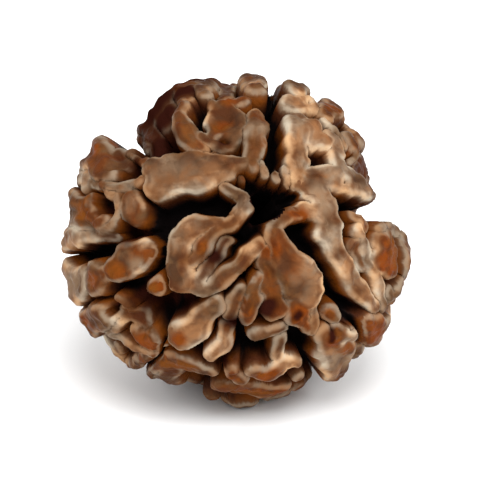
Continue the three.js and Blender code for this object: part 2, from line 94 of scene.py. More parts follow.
# Each lobe is (rise of its top, then its middle line as (right, up, half-width) points),
# on a sheet through the centre and square to the view. Points past the rim of the bead
# run on round the back.
UPPER_LEFT_LOBES = [
    [0.0, [-4.25, 3.75, 0.6], [-3.6, 3.2, 1.15], [-2.35, 3.5, 1.25], [-1.05, 3.75, 1.0],
      [-0.15, 4.1, 0.6], [0.6, 4.2, 0.45]],
    [-0.3, [-6.05, 4.7, 0.2], [-5.25, 4.45, 0.25], [-4.45, 3.95, 0.4]],
    [0.0, [1.05, 6.65, 0.45], [1.1, 6.0, 0.6], [1.05, 5.0, 0.6], [0.95, 4.1, 0.5]],
    [-0.45, [-0.65, 6.7, 0.8], [-0.45, 5.9, 1.25], [-0.65, 5.2, 1.0]],
    [-0.4, [0.45, 6.95, 0.35], [-0.25, 7.05, 0.4]],
    [-0.15, [1.05, 7.65, 0.7], [1.1, 8.4, 0.8], [1.2, 9.6, 0.8]],
    [-0.1, [-1.35, 7.15, 0.3], [-1.1, 6.6, 0.35], [-1.1, 5.9, 0.4]],
    [-0.15, [-1.6, 5.35, 0.45], [-1.1, 4.95, 0.35]],
    [-0.65, [-0.45, 7.35, 0.4], [-0.45, 8.2, 0.55], [-0.45, 9.25, 0.6]],
    [-1.1, [-3.85, 4.5, 0.45], [-4.05, 4.95, 0.6], [-4.4, 5.75, 0.7], [-5.0, 6.6, 0.85],
      [-6.15, 8.0, 1.1]],
    [-1.6, [-4.0, 4.25, 0.35], [-4.65, 4.9, 0.4], [-5.7, 6.0, 0.45], [-6.9, 7.25, 0.5]],
    [-0.65, [-3.45, 5.8, 0.4], [-4.05, 6.6, 0.7], [-4.85, 7.9, 1.1], [-5.65, 9.3, 1.2]],
    [-0.3, [-3.25, 6.4, 0.4], [-3.65, 7.3, 0.8], [-4.25, 8.6, 1.1], [-4.95, 9.9, 1.2]],
    [-0.1, [-2.55, 7.2, 0.4], [-2.6, 7.7, 0.7], [-2.85, 8.9, 1.0], [-3.15, 10.2, 1.1]],
    [-0.15, [-1.55, 7.5, 0.4], [-1.6, 7.9, 0.65], [-1.75, 9.1, 0.9], [-1.95, 10.3, 1.0]],
    [0.0, [-2.75, 6.85, 0.35], [-2.75, 6.1, 0.5], [-2.4, 5.35, 0.6], [-2.0, 4.75, 0.55]],
    [-0.5, [0.25, 3.1, 0.2]],
    [0.15, [-6.55, 3.4, 0.55], [-6.7, 3.85, 0.8], [-7.1, 4.25, 0.95], [-7.95, 4.75, 1.05],
      [-9.05, 5.45, 1.05]],
    [-0.15, [-6.95, 2.8, 0.25], [-7.45, 3.0, 0.35], [-8.25, 3.2, 0.4], [-9.25, 3.5, 0.4]],
    [-0.9, [-5.55, 4.2, 0.45], [-5.4, 3.6, 0.45]],
    [0.05, [-6.85, 2.65, 0.25], [-6.15, 2.8, 0.25], [-5.5, 3.0, 0.2], [-4.85, 3.1, 0.2]],
    [-0.5, [-5.85, 2.55, 0.2], [-5.15, 2.6, 0.2]],
    [0.0, [-6.85, 1.15, 0.55], [-7.35, 1.35, 0.9], [-8.05, 1.45, 1.0], [-9.0, 1.65, 1.05],
      [-10.25, 1.85, 1.05]],
    [0.1, [-6.7, 2.5, 0.2], [-6.25, 2.3, 0.2], [-6.1, 1.8, 0.2], [-6.25, 1.25, 0.2], [-6.7, 0.75, 0.25],
      [-7.35, 0.35, 0.25], [-8.05, 0.15, 0.3]],
    [0.25, [-8.25, 0.15, 0.45], [-8.85, 0.1, 0.7], [-10.0, 0.1, 0.8]],
    [0.0, [-5.5, 2.0, 0.65], [-5.3, 1.55, 0.85]],
    [-1.0, [-6.7, 0.4, 0.25], [-5.85, 0.2, 0.3]],
    [0.0, [-6.1, -1.5, 0.65], [-5.65, -1.1, 0.9], [-4.85, -0.6, 0.7]],
    [0.0, [-4.05, -2.35, 0.55]],
    [0.0, [-6.6, -1.7, 0.5], [-6.95, -1.9, 0.75], [-7.25, -2.05, 0.85]],
    [0.25, [-8.05, -2.2, 0.9], [-9.0, -2.4, 1.1], [-10.15, -2.6, 1.1]],
    [0.2, [-6.55, -3.8, 0.6], [-7.05, -4.0, 0.75], [-7.55, -4.25, 0.75], [-8.5, -4.7, 0.9],
      [-9.75, -5.25, 0.9]],
    [0.2, [-6.15, -3.1, 0.2], [-5.7, -3.5, 0.2], [-5.75, -4.0, 0.2], [-6.15, -4.4, 0.2],
      [-6.55, -4.75, 0.2]],
    [-0.8, [-5.25, -3.6, 0.45], [-4.5, -3.85, 0.5]],
    [-0.05, [-5.15, -4.8, 0.45], [-4.35, -5.1, 0.7]],
    [0.1, [-6.45, -4.85, 0.2], [-5.65, -5.3, 0.2], [-4.95, -5.75, 0.2], [-4.25, -5.9, 0.2],
      [-3.6, -5.6, 0.2]],
    [-0.1, [-7.1, -5.1, 0.2], [-6.45, -5.6, 0.2], [-5.7, -6.3, 0.2]],
    [-0.1, [-6.75, -5.9, 0.45], [-7.65, -6.75, 0.7], [-8.65, -7.75, 0.8]],
    [-0.1, [-5.75, -6.7, 0.4], [-6.5, -7.6, 0.7], [-7.25, -8.6, 0.8]],
]
RIGHT_LOBES = [
    [-0.4, [1.45, 3.85, 0.2], [1.6, 3.25, 0.17]],
    [-0.4, [2.05, 3.8, 0.2], [2.2, 3.05, 0.17]],
    [-0.4, [2.65, 3.65, 0.2], [2.8, 2.9, 0.17]],
    [-0.35, [3.2, 3.4, 0.25], [3.4, 2.8, 0.25]],
    [0.0, [3.0, 7.0, 0.55], [3.65, 7.05, 0.65], [4.05, 6.8, 0.4]],
    [0.0, [3.15, 7.6, 0.65], [3.4, 8.6, 0.75], [3.65, 9.75, 0.7]],
    [0.0, [3.2, 6.25, 0.65], [3.15, 5.25, 0.65], [3.2, 4.25, 0.65], [3.4, 3.6, 0.6]],
    [0.05, [3.75, 5.75, 0.7], [4.05, 5.1, 0.75], [4.65, 4.9, 0.5]],
    [-0.05, [4.85, 5.0, 0.4], [5.2, 4.25, 0.45], [5.45, 3.5, 0.6]],
    [0.1, [4.45, 6.05, 0.2], [4.9, 5.55, 0.2], [5.4, 4.85, 0.25]],
    [0.1, [4.7, 6.4, 0.5], [5.15, 6.9, 0.65], [6.15, 8.0, 0.8]],
    [-0.2, [5.75, 5.0, 0.45], [6.05, 4.5, 0.45], [5.85, 4.1, 0.35]],
    [-0.35, [6.25, 5.3, 0.7], [7.25, 6.25, 0.9], [8.25, 7.1, 0.9]],
    [-0.3, [3.75, 3.25, 0.7], [4.75, 3.1, 0.85], [5.75, 3.0, 0.8], [6.4, 2.6, 0.6], [7.1, 2.35, 0.25]],
    [-0.9, [6.05, 3.6, 0.5], [7.05, 4.0, 0.75], [8.75, 4.9, 1.0], [10.75, 5.75, 1.2]],
    [-0.95, [6.55, 2.6, 0.45], [7.5, 2.8, 0.5], [9.0, 3.1, 0.65], [11.25, 3.6, 0.8]],
    [-0.25, [4.15, 2.75, 0.8], [4.5, 1.75, 0.85], [4.75, 0.9, 0.7], [4.6, 0.4, 0.6]],
    [0.0, [4.75, 0.7, 0.6], [5.15, -0.4, 0.6], [5.75, -1.4, 0.6], [6.35, -2.4, 0.6], [6.9, -3.25, 0.45]],
    [-0.4, [6.05, -0.15, 0.4], [6.55, -1.25, 0.35]],
    [0.0, [6.45, 0.5, 0.35], [6.9, -0.4, 0.35], [7.2, -1.5, 0.35], [7.35, -2.5, 0.35],
      [7.25, -3.25, 0.3]],
    [-0.3, [6.05, 1.2, 0.3], [6.65, 0.7, 0.3]],
    [0.2, [7.65, -0.15, 0.65], [7.65, -1.25, 0.65]],
    [0.25, [8.05, -0.2, 0.75], [8.05, -1.15, 0.75]],
    [0.0, [7.35, 0.65, 0.2], [7.9, 0.55, 0.2]],
    [-0.5, [7.55, 0.5, 0.3], [8.35, 0.6, 0.4], [9.5, 0.65, 0.5], [11.0, 0.7, 0.6]],
    [0.1, [8.55, -0.15, 0.45], [9.75, -0.15, 0.55], [11.0, -0.15, 0.6]],
    [0.35, [8.8, -1.15, 1.1], [9.75, -1.4, 1.3], [11.25, -1.6, 1.2]],
    [0.3, [8.25, -2.5, 0.6], [9.5, -2.9, 0.8], [11.0, -3.3, 0.8]],
    [0.0, [7.7, -2.6, 0.35], [7.75, -3.0, 0.3]],
    [0.45, [6.55, -4.45, 0.6], [7.05, -4.6, 0.75], [8.25, -5.1, 0.9], [9.5, -5.6, 0.9]],
]
LOWER_LOBES = [
    [-0.3, [1.85, 0.6, 0.35], [2.45, 1.05, 0.3], [3.25, 1.5, 0.35], [4.15, 1.6, 0.5]],
    [0.0, [1.95, 0.3, 0.5], [2.35, -0.5, 0.7], [2.9, -1.4, 1.05], [3.45, -2.2, 1.25], [3.7, -2.8, 0.95]],
    [0.0, [3.75, -2.25, 0.7], [4.3, -2.65, 0.35]],
    [-0.35, [1.45, -0.6, 0.45], [1.65, -1.6, 0.65], [1.85, -2.6, 0.7], [2.05, -3.6, 0.7]],
    [0.0, [-0.65, 2.8, 0.25], [0.1, 2.45, 0.4], [0.45, 1.75, 0.45], [0.05, 1.2, 0.4], [-0.65, 0.7, 0.4],
      [-1.4, -0.1, 0.4], [-2.1, -1.0, 0.4]],
    [0.0, [-0.75, 0.9, 0.4], [-1.85, 0.7, 0.6], [-2.75, 0.1, 0.7], [-2.85, -0.9, 0.7],
      [-2.65, -1.9, 0.7], [-1.75, -2.4, 0.45]],
    [0.0, [1.2, -0.25, 0.45], [0.55, -1.0, 0.4], [-0.2, -1.65, 0.45], [-1.0, -2.25, 0.4],
      [-1.6, -2.6, 0.35]],
    [-0.8, [-0.35, -0.15, 0.3], [-1.15, -1.1, 0.35], [-1.6, -1.75, 0.35]],
    [0.0, [-2.85, -4.9, 0.75], [-2.25, -4.7, 0.85], [-1.5, -3.9, 0.55], [-0.9, -3.25, 0.4]],
    [0.0, [1.1, -2.1, 0.3], [0.95, -2.85, 0.45], [0.75, -3.55, 0.55], [0.55, -4.05, 0.4]],
    [-0.3, [0.25, -2.6, 0.35], [-0.15, -3.3, 0.4], [-0.35, -3.9, 0.4]],
    [-0.5, [-0.45, -4.5, 0.35], [-0.65, -5.0, 0.35]],
    [-0.1, [-0.55, -5.5, 0.45], [-1.15, -5.9, 0.35]],
    [-0.15, [3.1, -3.5, 0.7], [3.4, -4.1, 0.65], [3.65, -4.5, 0.45]],
    [0.05, [4.1, -3.4, 0.25], [4.1, -4.25, 0.25], [4.0, -4.75, 0.25]],
    [0.05, [4.9, -3.8, 0.45], [5.3, -4.05, 0.3]],
    [0.1, [4.55, -4.8, 0.4], [4.9, -5.25, 0.75], [5.1, -5.75, 0.9], [5.5, -6.4, 1.0], [6.5, -7.5, 1.1]],
    [0.1, [5.15, -4.6, 0.4], [5.8, -4.95, 0.4]],
    [0.0, [5.45, -5.3, 0.45], [5.85, -5.8, 0.7], [6.85, -6.9, 0.9]],
    [-0.4, [2.2, -5.1, 0.35], [2.25, -5.75, 0.4]],
    [-0.5, [1.05, -4.65, 0.3], [1.75, -4.65, 0.3], [2.45, -4.45, 0.3]],
    [0.0, [1.05, -6.65, 0.45], [1.65, -6.8, 0.5], [2.5, -6.35, 0.4], [3.15, -6.45, 0.3]],
    [-0.1, [3.3, -7.1, 0.35]],
    [-0.05, [-0.1, -6.55, 0.4], [0.15, -7.2, 0.4]],
    [-0.35, [3.25, -7.65, 0.4], [3.85, -8.4, 0.7], [4.35, -9.4, 0.8]],
    [-0.2, [-0.65, -7.65, 0.45], [0.25, -7.8, 0.6], [1.35, -7.85, 0.65], [2.35, -7.7, 0.5]],
    [-0.2, [0.25, -8.6, 1.0], [0.5, -10.0, 1.1]],
    [-0.25, [2.25, -8.3, 0.7], [2.65, -9.6, 0.8]],
    [-0.3, [-4.45, -6.1, 0.65], [-3.35, -6.2, 0.7], [-2.25, -6.4, 0.65], [-1.4, -6.7, 0.5]],
    [-0.4, [-4.25, -6.1, 0.6], [-4.6, -6.7, 0.9], [-5.35, -8.1, 1.2]],
    [-0.65, [-3.15, -6.4, 0.6], [-3.45, -7.2, 0.9], [-3.95, -8.75, 1.2]],
    [-0.9, [-2.25, -7.2, 0.7], [-2.25, -8.25, 1.1], [-2.25, -9.5, 1.2]],
    [-0.3, [-4.85, -6.2, 0.45], [-5.35, -6.9, 0.5]],
]
# Three broad lobes that the bead rests on, round the foot of its centre.
RESTING_LOBES = [
    [0.1, [-3.6, -10.9, 0.7], [-3.2, -12.4, 0.75]],
    [0.1, [3.6, -11.0, 0.7], [3.0, -12.6, 0.75]],
    [0.1, [-0.9, -14.0, 0.6], [0.9, -13.8, 0.7]],
]

# Pits sunk in the lobes, as (depth, then points like a lobe's).
PITS = [
    [2.2, [-1.7, 6.85, 0.35], [-1.8, 6.4, 0.4], [-1.75, 5.95, 0.3]],
    [0.8, [-0.65, 5.45, 0.35]],
    [0.7, [-1.4, 5.0, 0.07], [-0.5, 4.65, 0.1], [0.4, 4.95, 0.07]],
    [0.8, [-3.5, 5.35, 0.4]],
    [1.0, [-4.95, 4.5, 0.2], [-5.9, 5.4, 0.35], [-7.0, 6.4, 0.5], [-8.5, 7.75, 0.5]],
    [0.5, [3.7, 7.05, 0.12]],
    [0.4, [3.25, 6.6, 0.12]],
    [1.3, [3.9, 4.3, 0.23], [4.3, 4.45, 0.25], [4.7, 4.25, 0.2]],
    [1.2, [5.55, 4.15, 0.2], [6.05, 4.4, 0.2]],
    [0.5, [5.55, 2.95, 0.15]],
    [1.2, [5.65, 1.55, 0.25], [6.1, 1.7, 0.2]],
    [2.0, [6.55, 1.55, 0.35], [7.45, 1.5, 0.65], [9.25, 1.6, 0.85], [11.75, 1.85, 1.0]],
    [1.2, [7.8, -2.0, 0.25]],
    [2.0, [3.2, -4.9, 0.45], [3.3, -5.5, 0.45]],
    [2.0, [1.0, -5.6, 0.5], [1.35, -6.0, 0.4]],
    [1.2, [2.55, -7.2, 0.3]],
    [1.5, [-0.7, -6.5, 0.3]],
    [1.5, [-6.3, -3.6, 0.35]],
    [1.4, [-6.55, 1.8, 0.3], [-6.9, 1.9, 0.45], [-7.25, 2.0, 0.4]],
    [1.3, [-6.85, -0.7, 0.2], [-7.55, -0.85, 0.3], [-8.75, -0.9, 0.4], [-10.0, -0.9, 0.45]],
]

# The clefts, from the seen hole mouth outwards.
CLEFTS = [
    [[2.15, 3.85, 0.35], [2.1, 5.0, 0.45], [2.1, 6.0, 0.4], [2.0, 6.9, 0.3], [1.9, 7.8, 0.3],
      [1.85, 9.0, 0.35]],
    [[-0.15, 1.85, 0.3], [-1.75, 1.7, 0.4], [-3.35, 1.4, 0.5], [-3.85, 0.5, 0.45], [-3.95, -0.75, 0.4],
      [-3.45, -1.75, 0.2], [-3.35, -2.75, 0.25], [-3.5, -3.75, 0.35], [-3.6, -4.5, 0.2],
      [-3.55, -5.4, 0.15]],
    [[3.15, 0.7, 0.3], [3.6, 0.0, 0.5], [4.25, -0.9, 0.4], [4.95, -2.0, 0.3], [5.5, -2.9, 0.35],
      [5.85, -3.75, 0.25], [6.25, -5.1, 0.2]],
]

# The seen hole mouth is a three-cornered pit.
MOUTH_RISE = -0.5
MOUTH_MIDDLE = [1.85, 2.0, 0.8]
MOUTH_CORNERS = [[0.8, 3.0, 0.45], [3.3, 2.5, 0.35], [0.9, 0.9, 0.35]]
FAR_MOUTH_RADIUS = 1.1
BACK_CLEFT_HALF = 0.3
BACK_CLEFT_STEPS = 6

# The hidden side is filled with lobes of the same sort, grown from seeded draws.
BACK_SEED = 7
BACK_TRIES = 3000
BACK_CLEAR = 0.16         # least gap to the lobes already there
BACK_HALF = (0.35, 0.75)  # half-width range
BACK_SWELL = (0.8, 1.2)   # part of the half-width that a point takes
BACK_STEP = 0.8           # between a lobe's points
BACK_POINTS = 5           # at most, in one lobe
BACK_RISE = (-0.5, 0.1)   # range of a top's step up or down
SEEN_LIMIT = 0.1          # part toward the view past which nothing is grown
DRAW_FACTOR = 1664525
DRAW_STEP = 1013904223
DRAW_SPAN = 2**32


def envelope(directions):
    along = directions @ hole_axis
    return 1 / np.sqrt(along**2 / POLE_RADIUS**2 + (1 - along**2) / WAIST_RADIUS**2)


def facing(u, v, rise):
    """The way from the centre to the surface point that shows at (u, v) on the sheet."""
    turn = math.atan2(v, u)
    direction = toward
    lean = 0.0
    for _ in range(LOOK_PASSES):
        radius = float(envelope(direction)) + rise
        nearer = max(radius * math.cos(lean), 0) / VIEW_DISTANCE
        reach = math.hypot(u, v) * (1 - nearer) / radius
        lean = math.asin(reach) if reach < 1 else math.pi / 2 + reach - 1
        flat = math.cos(turn) * right + math.sin(turn) * up
        direction = math.sin(lean) * flat + math.cos(lean) * toward
    return direction


def stroke(rise, points):
    at = np.array([facing(u, v, rise) for u, v, _ in points])
    half = np.array([half for _, _, half in points])
    return {"rise": rise, "at": at, "half": half}


def segments(line):
    """A stroke's stretches, as start, end and the half-width at each.

    A dot is one stretch of no length.
    """
    at, half = line["at"], line["half"]
    if len(at) == 1:
        return at, at, half, half
    return at[:-1], at[1:], half[:-1], half[1:]


def clefts_to_far_mouth():
    """The drawn clefts, each run on round the back to the far mouth."""
    lines = []
    for points in CLEFTS:
        line = stroke(0, points)
        share = np.arange(1, BACK_CLEFT_STEPS + 1)[:, None] / BACK_CLEFT_STEPS
        back = unit(line["at"][-1] * (1 - share) + far_mouth * share)
        line["at"] = np.vstack([line["at"], back])
        line["half"] = np.append(line["half"], np.full(BACK_CLEFT_STEPS, BACK_CLEFT_HALF))
        lines.append(line)
    return lines


class Crowd:
    """All the strokes so far, to ask how far inside the nearest one a direction is."""

    def __init__(self, lines):
        self.parts = [np.empty((0, 3)), np.empty((0, 3)), np.empty(0), np.empty(0)]
        for line in lines:
            self.add(line)

    def add(self, line):
        self.parts = [np.concatenate(pair) for pair in zip(self.parts, segments(line))]

    def inside(self, direction):
        start, end, half_start, half_end = self.parts
        step, offset = end - start, direction - start
        length = np.einsum("ij,ij->i", step, step)
        share = np.einsum("ij,ij->i", offset, step) / np.where(length > 0, length, 1)
        share = np.clip(share, 0, 1)
        gap = np.linalg.norm(offset - share[:, None] * step, axis=1) * WAIST_RADIUS
        most = np.max(half_start + share * (half_end - half_start) - gap)
        mouth_gap = FAR_MOUTH_RADIUS - np.linalg.norm(direction - far_mouth) * WAIST_RADIUS
        return max(most, mouth_gap)


class Draws:
    """The same row of numbers each run."""

    def __init__(self, seed):
        self.state = seed

    def __call__(self):
        self.state = (self.state * DRAW_FACTOR + DRAW_STEP) % DRAW_SPAN
        return self.state / DRAW_SPAN

    def three(self):
        return np.array([self() - 0.5, self() - 0.5, self() - 0.5])


def grow_lobe(draw, crowd):
    """A lobe that wanders from a drawn place until it meets others, or None where there is no room."""
    height = 2 * draw() - 1
    turn = 2 * math.pi * draw()
    ring = math.sqrt(1 - height * height)
    at = np.array([ring * math.cos(turn), ring * math.sin(turn), height])
    rise = between(BACK_RISE, draw())
    half = between(BACK_HALF, draw())
    heading = draw.three()
    points, halves = [], []
    while len(points) < BACK_POINTS:
        if at @ toward > SEEN_LIMIT or crowd.inside(at) > -half - BACK_CLEAR:
            break
        points.append(at)
        halves.append(half * between(BACK_SWELL, draw()))
        heading = heading + draw.three()
        heading = unit(heading - (heading @ at) * at)
        at = unit(at + heading * BACK_STEP / WAIST_RADIUS)
    if not points:
        return None
    return {"rise": rise, "at": np.array(points), "half": np.array(halves)}


def all_lobes(clefts):
    drawn = UPPER_LEFT_LOBES + RIGHT_LOBES + LOWER_LOBES + RESTING_LOBES
    lobes = [stroke(rise, points) for rise, *points in drawn]
    crowd = Crowd(lobes + clefts)
    draw = Draws(BACK_SEED)
    for _ in range(BACK_TRIES):
        lobe = grow_lobe(draw, crowd)
        if lobe:
            lobes.append(lobe)
            crowd.add(lobe)
    return lobes


def inside_stroke(directions, line):
    """Which directions lie near a stroke, how far inside its edge each is, and the way out."""
    middle = unit(line["at"].mean(axis=0))
    widest = line["half"].max() - FAR_OUTSIDE
    spread = np.linalg.norm(line["at"] - middle, axis=1).max() + widest / WAIST_RADIUS
    near = np.flatnonzero(directions @ middle > 1 - spread**2 / 2)
    here = directions[near]
    best = np.full(len(near), -np.inf)
    way_out = np.zeros((len(near), 3))
    for start, end, half_start, half_end in zip(*segments(line)):
        step, offset = end - start, here - start
        length = step @ step
        share = np.clip(offset @ step / length, 0, 1) if length > 0 else np.zeros(len(near))
        away = offset - share[:, None] * step
        gap = np.linalg.norm(away, axis=1)
        inside = half_start + share * (half_end - half_start) - gap * WAIST_RADIUS
        better = inside > best
        best[better] = inside[better]
        way_out[better] = away[better] / np.maximum(gap[better], LEAST_GAP)[:, None]
    return near, best, way_out


def relief(directions, lobes, cuts):
    """The raised part at each direction: how far inside its edge it is, the height of the
    tops, how deep the ground beside it may fall, the way out, and which lobe is nearest."""
    count = len(directions)
    inside = np.full(count, FAR_OUTSIDE)
    weight = np.full(count, LEAST_WEIGHT)
    rise = np.zeros(count)
    way_out = np.zeros((count, 3))
    nearest = np.zeros(count, int)
    for number, lobe in enumerate(lobes):
        near, own, out = inside_stroke(directions, lobe)
        share = np.exp(np.maximum(own, FAR_OUTSIDE) / BLEND)
        weight[near] += share
        rise[near] += share * lobe["rise"]
        before = inside[near]
        closer = own > before
        way_out[near[closer]] = out[closer]
        nearest[near[closer]] = number
        overlap = np.maximum(WELD - np.abs(own - before), 0) / WELD
        inside[near] = np.maximum(own, before) + overlap**2 * WELD / 4
    depth = np.full(count, GROOVE_DEPTH)
    for cut in cuts:
        near, own, out = inside_stroke(directions, cut["line"])
        lower = -own < inside[near]
        inside[near[lower]] = -own[lower]
        way_out[near[lower]] = -out[lower]
        depth[near[lower]] = cut["depth"]
    return inside, rise / weight, depth, way_out, nearest


def profile(inside, depth):
    """Height over a lobe's top level."""
    wall = np.maximum(-SHOULDER_RADIUS + WALL_SLOPE * inside, -depth)
    short = np.clip(SHOULDER_RADIUS - inside, 0, SHOULDER_RADIUS)
    shoulder = np.sqrt(SHOULDER_RADIUS**2 - short**2) - SHOULDER_RADIUS
    dish = DISH_DEPTH * smooth(np.clip((inside - SHOULDER_RADIUS) / DISH_REACH, 0, 1))
    return np.where(inside < 0, wall, shoulder - dish)


def sphere(splits):
    """Corners and triangles of an icosahedron, each side split, on a ball of radius 1."""
    long = (1 + math.sqrt(5)) / 2
    corners = np.array([
        (-1, long, 0), (1, long, 0), (-1, -long, 0), (1, -long, 0),
        (0, -1, long), (0, 1, long), (0, -1, -long), (0, 1, -long),
        (long, 0, -1), (long, 0, 1), (-long, 0, -1), (-long, 0, 1),
    ])
    sides = [
        (0, 11, 5), (0, 5, 1), (0, 1, 7), (0, 7, 10), (0, 10, 11),
        (1, 5, 9), (5, 11, 4), (11, 10, 2), (10, 7, 6), (7, 1, 8),
        (3, 9, 4), (3, 4, 2), (3, 2, 6), (3, 6, 8), (3, 8, 9),
        (4, 9, 5), (2, 4, 11), (6, 2, 10), (8, 6, 7), (9, 8, 1),
    ]
    rows = [(i, j) for i in range(splits + 1) for j in range(splits + 1 - i)]
    place = {cell: number for number, cell in enumerate(rows)}
    cells = np.array(rows)
    local = [
        (place[i, j], place[i + 1, j], place[i, j + 1])
        for i, j in rows if i + j < splits
    ] + [
        (place[i + 1, j], place[i + 1, j + 1], place[i, j + 1])
        for i, j in rows if i + j < splits - 1
    ]
    points = []
    faces = []
    for a, b, c in sides:
        grid = (
            corners[a] * (splits - cells.sum(axis=1))[:, None]
            + corners[b] * cells[:, :1]
            + corners[c] * cells[:, 1:]
        ) / splits
        faces.append(np.array(local) + len(points) * len(rows))
        points.append(grid)
    points = np.vstack(points)
    faces = np.vstack(faces)
    rounded = np.round(points, JOIN_DIGITS)
    _, first, same = np.unique(rounded, axis=0, return_index=True, return_inverse=True)
    return unit(points[first]), same.reshape(-1)[faces]


class Waves:
    """Smooth noise over the bead: a sum of plane waves with seeded ways and phases."""

    def __init__(self, seed, count, shortest, longest):
        random = np.random.default_rng(seed)
        lengths = random.uniform(shortest, longest, count)
        self.ways = unit(random.normal(size=(count, 3))) * (2 * np.pi / lengths)[:, None]
        self.phases = random.uniform(0, 2 * np.pi, count)
        self.scale = math.sqrt(2 / count)

    def __call__(self, points):
        return np.sin(points @ self.ways.T + self.phases).sum(axis=1) * self.scale


# Where the wood keeps its orange skin, where painted shade darkens the pits, the hole
# mouth and the gaps between lobes, where it keeps its smooth dark shell, and where it is
# worn pale, with painted light on the lit right side and the hazy left limb, as (right, up, radius,
# strength) on the sheet.
OCHRE_PATCHES = [
    [7.5, 0.0, 0.4, 1], [7.8, -0.1, 0.4, 1], [7.5, -0.8, 0.4, 1], [7.8, -0.8, 0.6, 1],
    [7.5, -1.4, 0.4, 1], [7.8, -1.4, 0.4, 1], [1.1, 7.4, 0.5, 0.5], [4.8, 6.6, 0.6, 1],
    [4.8, -3.6, 0.6, 1], [1.6, -6.7, 0.7, 1], [-6.1, -1.6, 0.7, 1], [-4.4, -5.2, 0.9, 1],
    [-4.0, -2.4, 0.6, 1], [3.4, 1.4, 0.6, 1], [0.6, -3.4, 0.6, 1], [-1.5, -0.5, 0.6, 1],
    [-0.5, 7.4, 0.5, 1], [6.3, -4.1, 0.7, 0.9], [6.8, -4.5, 0.5, 0.8], [-6.8, 4.4, 0.4, 1],
    [-7.2, -4.2, 0.7, 1], [-3.1, -6.3, 1.2, 1], [-7.1, -2.1, 0.6, 1], [-2.9, -4.9, 0.4, 1],
    [1.4, -7.8, 1.5, 1], [5.0, -4.7, 0.6, 1], [-7.7, 1.4, 0.8, 1], [0.0, -6.9, 0.6, 1],
    [1.8, -0.5, 0.6, 1], [3.2, -3.9, 0.7, 1], [5.8, 4.8, 0.4, 1], [-0.7, 6.1, 0.6, 1],
    [6.0, -0.6, 0.4, 1], [5.5, -5.3, 0.4, 0.8],
]
# Painted shade: dark spots on the pits, the hole mouth and the gaps between lobes.
PAINTED_SHADE_PATCHES = [
    [-5.8, 0.3, 0.7, 1], [-5.5, 3.9, 0.6, 1], [-4.8, -3.3, 0.9, 1], [-4.2, -3.7, 0.6, 1],
    [-5.3, -3.0, 0.5, 1], [-0.7, 5.3, 0.5, 1], [-0.1, -4.5, 0.6, 1], [-2.9, -3.3, 0.7, 1],
    [-0.7, -6.4, 0.4, 1], [1.8, -3.6, 0.6, 1], [4.8, -4.7, 0.3, 1], [3.2, -3.9, 0.3, 1],
    [1.6, 2.0, 1.1, 1], [-1.1, -0.9, 0.4, 1], [2.5, -7.2, 0.3, 1], [-7.0, 2.0, 0.5, 1],
    [-6.2, -3.5, 0.3, 1],
]
# Worn pale patches, and painted light: the lit right side and the hazy left limb are made paler here.
WORN_AND_LIT_PATCHES = [
    [3.2, 5.5, 1.3, 1], [5.2, 3.1, 0.8, 1], [4.2, 2.0, 1.0, 1], [6.7, 2.4, 0.5, 1],
    [4.8, 0.0, 0.8, 1], [5.5, -1.6, 0.8, 1], [6.7, -2.8, 0.7, 1], [-3.6, 3.2, 0.9, 0.5],
    [-2.5, 3.1, 0.9, 0.55], [-1.4, 3.4, 0.8, 0.55], [-2.9, 2.4, 0.4, 0.8], [-2.5, 0.4, 0.9, 0.5],
    [-1.9, -1.9, 0.7, 0.5], [0.5, 1.6, 0.6, 0.7], [3.8, -1.3, 0.8, 0.9], [4.2, -2.3, 0.8, 1],
    [3.1, -1.8, 0.5, 0.5], [3.9, -3.0, 0.5, 0.8], [-8.6, 0.0, 2.0, 0.7], [-8.1, 0.0, 1.3, 0.7],
    [-7.7, 0.0, 0.8, 0.6], [-8.4, -2.2, 1.8, 0.7], [-8.0, -2.2, 1.2, 0.7], [-7.7, -2.0, 0.6, 0.6],
    [6.5, 0.4, 0.5, 1], [7.0, -0.5, 0.5, 1], [7.3, -1.5, 0.5, 1], [7.3, -2.4, 0.5, 1],
    [7.6, -4.1, 0.6, 1], [7.4, -5.0, 0.6, 1], [6.8, -5.5, 0.5, 1], [5.5, 0.6, 0.4, 1],
    [5.7, -0.1, 0.3, 1], [6.0, -1.1, 0.3, 1], [-7.0, -5.2, 0.7, 0.6], [-6.5, -5.6, 0.8, 0.6],
    [-6.2, -6.0, 0.9, 0.6], [-5.2, -5.7, 0.3, 0.8], [-7.5, 3.3, 0.6, 0.8], [-5.3, 1.8, 0.5, 0.5],
    [-5.1, -1.1, 0.5, 0.9], [-4.8, -0.2, 0.3, 0.8], [-2.2, -4.7, 0.9, 0.8], [7.5, -4.8, 0.7, 1],
    [1.1, 5.5, 0.6, 0.4], [4.7, -5.9, 0.9, 1], [5.8, -5.8, 0.7, 1], [4.8, -6.6, 0.6, 0.8],
    [5.7, -4.8, 0.5, 1], [6.5, -3.0, 0.7, 1], [7.8, -4.5, 0.8, 1], [7.5, -5.2, 0.7, 1],
    [5.0, -0.1, 0.5, 1], [8.6, -1.1, 0.7, 1], [3.2, 7.2, 1.0, 1], [4.5, 4.5, 1.1, 0.8],
    [6.0, 2.2, 0.7, 0.6], [3.2, 3.8, 0.8, 0.7], [5.5, 3.8, 0.7, 0.8], [4.2, 1.8, 0.7, 0.8],
    [6.5, -1.8, 0.6, 0.8], [-6.0, -4.2, 0.3, 0.8], [2.5, -6.4, 0.6, 1], [-5.8, -5.7, 0.4, 0.6],
    [0.8, -0.5, 0.5, 1], [-1.0, -5.6, 0.6, 1], [-1.5, 6.5, 0.4, 1], [1.1, 8.0, 0.5, 1],
    [4.2, 6.0, 0.7, 1],
]
SHELL_PATCHES = [
    [-4.3, 5.4, 1.2, 1], [-3.8, 6.6, 1.0, 1], [-2.6, 7.6, 0.8, 1], [-4.2, 7.2, 1.5, 1],
    [-3.0, 8.7, 1.8, 1], [-3.4, 5.1, 0.7, 1],
]
PATCH_END = 1.5           # in radii from the middle of a patch
TINT_SEED = 4293


